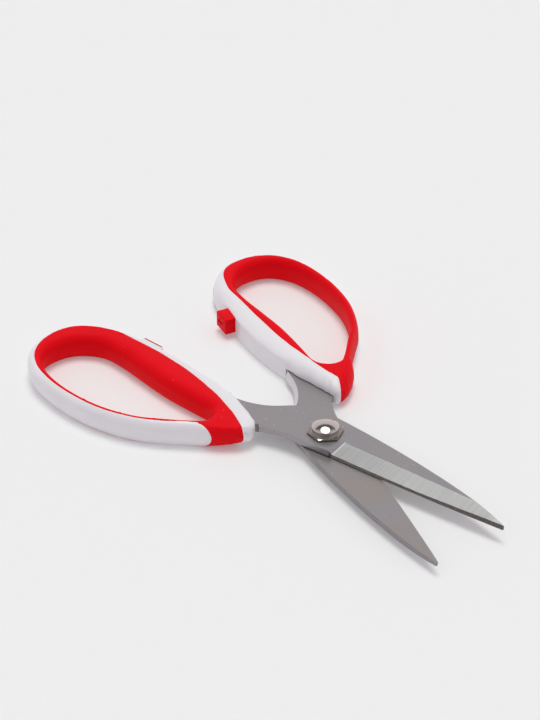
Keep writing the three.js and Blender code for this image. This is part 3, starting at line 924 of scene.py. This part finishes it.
# The closing stop: a red rubber block pressed into the thumb bar, with a moulded slot in its
# face, and a thin rubber pad on a white boss of the finger bar.
STOP_X = -90.9
BUMPER = (8.6, (-0.9, 5.5), 7.0)
BUMPER_SLOT = (4.0, 0.8, 1.0)
SLOT_SHIFT = -0.7
PAD = (9.6, (0.25, 1.15), 8.6)
PAD_PROUD, BOSS_RIM = 0.35, 0.6
BOSS_ROOT, BOSS_SINK, BOSS_FLARE = 3.6, 1.4, 2.4
STOP_ROUND, PAD_ROUND, BOSS_ROUND = 0.45, 0.15, 0.25
BOSS_STEPS = 9
OVERCUT = 1.0


def block(x, length, y0, y1, height):
    """A box round the middle plane of the half."""
    bm = bmesh.new()
    middle = Vector((x, (y0 + y1) / 2, 0))
    bmesh.ops.create_cube(bm, size=1.0)
    bmesh.ops.scale(bm, vec=(length, y1 - y0, height), verts=bm.verts)
    bmesh.ops.translate(bm, vec=middle, verts=bm.verts)
    mesh = bpy.data.meshes.new("block")
    bm.to_mesh(mesh)
    bm.free()
    return mesh


def boss_mesh():
    left, right = STOP_X - PAD[0] / 2 - BOSS_RIM, STOP_X + PAD[0] / 2 + BOSS_RIM
    near = PAD[1][0] + PAD_PROUD
    sweep = np.linspace(0, math.pi / 2, BOSS_STEPS)
    rise = BOSS_ROOT - near
    outline = [
        *((right + BOSS_FLARE * (1 - math.cos(a)), near + rise * math.sin(a)) for a in sweep),
        (right, BOSS_ROOT + BOSS_SINK),
        (left, BOSS_ROOT + BOSS_SINK),
        *((left - BOSS_FLARE * (1 - math.cos(a)), near + rise * math.sin(a)) for a in sweep[::-1]),
    ]
    bm = bmesh.new()
    low = bm.faces.new([bm.verts.new((x, y, -PAD[2] / 2)) for x, y in outline])
    raised = bmesh.ops.extrude_face_region(bm, geom=[low])["geom"]
    top = [v for v in raised if isinstance(v, bmesh.types.BMVert)]
    bmesh.ops.translate(bm, vec=(0, 0, PAD[2]), verts=top)
    bmesh.ops.recalc_face_normals(bm, faces=bm.faces)
    mesh = bpy.data.meshes.new("boss")
    bm.to_mesh(mesh)
    bm.free()
    return mesh


soft_edges = {**rounded, "width": STOP_ROUND, "segments": 4, "angle_limit": math.radians(40)}
bumper = worked(block(STOP_X, BUMPER[0], *BUMPER[1], BUMPER[2]), ("BEVEL", soft_edges))
slot_depth = (BUMPER[1][0] - OVERCUT, BUMPER[1][0] + BUMPER_SLOT[1])
slot = block(STOP_X + SLOT_SHIFT, BUMPER_SLOT[0], *slot_depth, BUMPER_SLOT[2])
settle("bumper_rubber", cut_from(bumper, slot), "lower_half", [rubber], "soft_grip", "stop_bumper")
pad_edges = {**soft_edges, "width": PAD_ROUND, "segments": 2}
pad = worked(block(STOP_X, PAD[0], *PAD[1], PAD[2]), ("BEVEL", pad_edges))
settle("pad_rubber", pad, "upper_half", [rubber], "soft_grip", "stop_pad")
boss = worked(boss_mesh(), ("BEVEL", {**pad_edges, "width": BOSS_ROUND}))
settle("pad_boss", boss, "upper_half", [plastic], "handle_shell")


# The pivot: a slotted screw from below through both blades, and a bright nickel nut on top,
# a chamfered hexagon with a round boss and a domed end. They stay with the lower half.
SHANK_RADIUS, HEAD_RADIUS, HEAD_HEIGHT, HEAD_CHAMFER = 2.75, 6.0, 2.0, 0.7
HEAD_TOP, SHANK_TOP = -2.975, 3.9
SLOT_WIDTH, SLOT_DEPTH = 1.2, 0.9
NUT_SEAT, NUT_PLAY = 2.975, 0.1
HEX_RADIUS, HEX_HEIGHT, HEX_CHAMFER = 7.3, 0.75, 0.4
BOSS_RADIUS, BOSS_HEIGHT, DOME_HEIGHT = 5.35, 1.95, 1.5
DOME_EDGE, BOSS_FOOT = (0.12, 0.08), 0.12
HEX_EDGE, HEX_SIDE = (0.05, 0.01), (0.04, 0.05)
TURNS, DOME_STEPS = 180, 22


def bright_nickel():
    """Plated and polished: nearly mirror bright, warm in tone, with faint turning rings."""
    material, tree, shader = new_material("bright_nickel", Metallic=1.0)
    place = half_place(tree)
    x, y, _ = place.parts()
    radius = (x**2 + y**2) ** 0.5
    rings = noise(tree, Wire.add(tree, "ShaderNodeCombineXYZ", None, {0: radius}), scale=3.0)
    clouds = noise(tree, place, scale=0.5)
    warm_nickel = (0.70, 0.655, 0.585, 1)
    pale_nickel = (0.78, 0.745, 0.69, 1)
    dull_nickel = (0.40, 0.365, 0.325, 1)
    base = blend(tree, clouds, warm_nickel, pale_nickel)
    flange = ramped(tree, radius, BOSS_RADIUS - 0.15, BOSS_RADIUS + 0.15)
    base = blend(tree, flange, base, dull_nickel)
    feed(
        shader,
        Base_Color=base,
        Roughness=0.05 + 0.06 * rings,
        Normal=bumped(tree, rings, 0.000004),
    )
    return material


def turned_mesh(profile_at):
    """A turned piece: for each angle a profile of (radius, height), from the axis outwards."""
    bm = bmesh.new()
    rings = []
    for i in range(TURNS):
        angle = 2 * math.pi * i / TURNS
        ring = [(r * math.cos(angle), r * math.sin(angle), z) for r, z in profile_at(angle)]
        rings.append([bm.verts.new(p) for p in ring])
    for here, there in zip(rings, [*rings[1:], rings[0]]):
        for i in range(len(here) - 1):
            bm.faces.new((here[i], here[i + 1], there[i + 1], there[i]))
    bmesh.ops.remove_doubles(bm, verts=bm.verts, dist=1e-4)
    bmesh.ops.recalc_face_normals(bm, faces=bm.faces)
    mesh = bpy.data.meshes.new("turned")
    bm.to_mesh(mesh)
    bm.free()
    return mesh


def nut_profile(angle):
    """Heights out from the axis, with the hexagon's own radius at this angle."""
    plate_top = NUT_SEAT + HEX_HEIGHT
    boss_top = plate_top + BOSS_HEIGHT
    flat = HEX_RADIUS * math.cos(math.pi / 6)
    reach = flat / math.cos(angle % (math.pi / 3) - math.pi / 6)
    chamfer_from = HEX_RADIUS - 2 * HEX_CHAMFER
    drop = max(0.0, (reach - chamfer_from) / 2)
    sphere = (BOSS_RADIUS**2 + DOME_HEIGHT**2) / (2 * DOME_HEIGHT)
    middle = boss_top + DOME_HEIGHT - sphere
    out = np.linspace(0, BOSS_RADIUS - DOME_EDGE[0], DOME_STEPS)
    return [
        *((r, middle + math.sqrt(sphere**2 - r**2)) for r in out),
        (BOSS_RADIUS, boss_top - DOME_EDGE[1]),
        (BOSS_RADIUS, plate_top + BOSS_FOOT),
        (BOSS_RADIUS + BOSS_FOOT, plate_top),
        (min(reach, chamfer_from) - HEX_EDGE[0], plate_top),
        (min(reach, chamfer_from), plate_top - HEX_EDGE[1]),
        (reach - HEX_SIDE[0], plate_top - drop),
        (reach, plate_top - drop - HEX_SIDE[1]),
        (reach, NUT_SEAT),
        (SHANK_RADIUS + NUT_PLAY, NUT_SEAT),
        (SHANK_RADIUS + NUT_PLAY, SHANK_TOP + NUT_PLAY),
        (0.0, SHANK_TOP + NUT_PLAY),
    ]


def screw_profile(_):
    bottom = HEAD_TOP - HEAD_HEIGHT
    return [
        (0.0, SHANK_TOP),
        (SHANK_RADIUS, SHANK_TOP),
        (SHANK_RADIUS, HEAD_TOP),
        (HEAD_RADIUS, HEAD_TOP),
        (HEAD_RADIUS, bottom + HEAD_CHAMFER),
        (HEAD_RADIUS - HEAD_CHAMFER, bottom),
        (0.0, bottom),
    ]


nickel = bright_nickel()
on_pivot = {"smooth": 25, "place": at_pivot}
nut = turned_mesh(nut_profile)
settle("nut_nickel", nut, "lower_half", [nickel], "pivot_metal", "pivot_nut", **on_pivot)
slot_length, slot_height = 2 * (HEAD_RADIUS + OVERCUT), 2 * (OVERCUT + SLOT_DEPTH)
driver_slot = block(0.0, slot_length, -SLOT_WIDTH / 2, SLOT_WIDTH / 2, slot_height)
driver_slot.transform(Matrix.Translation((0, 0, HEAD_TOP - HEAD_HEIGHT - OVERCUT)))
screw = cut_from(turned_mesh(screw_profile), driver_slot)
settle("screw_nickel", screw, "lower_half", [nickel], "pivot_metal", "pivot_screw", **on_pivot)


# The table and the studio: a pale matt table top, a soft box overhead, a bright backdrop and a
# darker room behind the camera, which stands where the photograph was taken.
bpy.context.scene.view_settings.view_transform = "Standard"
CAMERA_PLACE = (0.69851, -0.54806, 0.63125)
CAMERA_RIGHT = Vector((0.6079, 0.7940, 0.0))
CAMERA_UP = Vector((-0.4440, 0.3400, 0.8290))
LENS = 139.22
FLOOR_SIZE, FLOOR_GLOW = 8.0, 0.16
BOX_LEAN, BOX_OUTER, BOX_INNER = math.radians(11), math.radians(17), math.radians(14)
BOX_LIGHT = (1.93, 2.02, 1.91, 1)
SKY_SCALE = (4, 4.3, 3.95)
WORLD_STRENGTH = 3.5


def pale_table():
    """Matt and nearly white, with a faint glow in place of the light of a white room."""
    glow = {"Emission_Color": (1, 1, 1, 1), "Emission_Strength": FLOOR_GLOW}
    material, tree, shader = new_material("pale_table", Specular_IOR_Level=0.0, **glow)
    place = Wire.add(tree, "ShaderNodeTexCoord", None, None, "Object")
    grain = noise(tree, place, scale=900.0)
    dark_grain = (0.735, 0.735, 0.735, 1)
    light_grain = (0.745, 0.745, 0.745, 1)
    base = blend(tree, grain, dark_grain, light_grain)
    feed(shader, Base_Color=base, Roughness=0.8 + 0.1 * grain)
    return material


def studio_world():
    """Light by direction: height above the horizon, and how far round from the camera."""
    world = bpy.data.worlds.new("studio")
    world.use_nodes = True
    tree = world.node_tree
    ray = Wire.add(tree, "ShaderNodeTexCoord", None, None, "Generated")
    x, y, z = ray.parts()
    away = CAMERA_UP.xy.normalized()
    to_back_wall = away.x * x + away.y * y
    round_to_back = to_back_wall / ((x**2 + y**2) ** 0.5 + 1e-4)
    backdrop = [(0.0, 0.85), (0.5, 0.75), (0.68, 0.68), (0.74, 0.14), (0.88, 0.14), (1.0, 0.4)]
    front = [(0.0, 0.7), (0.25, 0.4), (0.55, 0.4), (0.84, 0.6), (1.0, 0.4)]
    sides = [(0.0, 0.85), (0.5, 0.75), (0.84, 0.65), (1.0, 0.4)]
    overhead = to_back_wall * math.sin(BOX_LEAN) + z * math.cos(BOX_LEAN)
    softbox = ramped(tree, overhead, math.cos(BOX_OUTER), math.cos(BOX_INNER))

    def sky(stops):
        tinted = [(height, tuple(light / scale for scale in SKY_SCALE)) for height, light in stops]
        return Wire.add(tree, "ShaderNodeValToRGB", {"stops": tinted}, {0: z})

    to_back = ramped(tree, round_to_back, 0.35, 0.75)
    to_front = ramped(tree, -round_to_back, 0.6, 0.9)
    light = blend(tree, to_front, blend(tree, to_back, sky(sides), sky(backdrop)), sky(front))
    light = blend(tree, softbox, light, BOX_LIGHT)
    background = tree.nodes["Background"]
    background.inputs["Strength"].default_value = WORLD_STRENGTH
    tree.links.new(light.socket, background.inputs["Color"])
    return world


bm = bmesh.new()
bmesh.ops.create_grid(bm, x_segments=1, y_segments=1, size=FLOOR_SIZE / 2)
table_mesh = bpy.data.meshes.new("table")
bm.to_mesh(table_mesh)
bm.free()
table_mesh.materials.append(pale_table())
table = bpy.data.objects.new("table", table_mesh)
bpy.context.scene.collection.objects.link(table)
bpy.context.scene.world = studio_world()

camera = bpy.data.objects.new("camera", bpy.data.cameras.new("camera"))
camera.data.lens = LENS
camera.data.clip_end = 100
turn = Matrix((CAMERA_RIGHT, CAMERA_UP, CAMERA_RIGHT.cross(CAMERA_UP))).transposed().to_4x4()
camera.matrix_world = Matrix.Translation(CAMERA_PLACE) @ turn
bpy.context.scene.collection.objects.link(camera)
bpy.context.scene.camera = camera
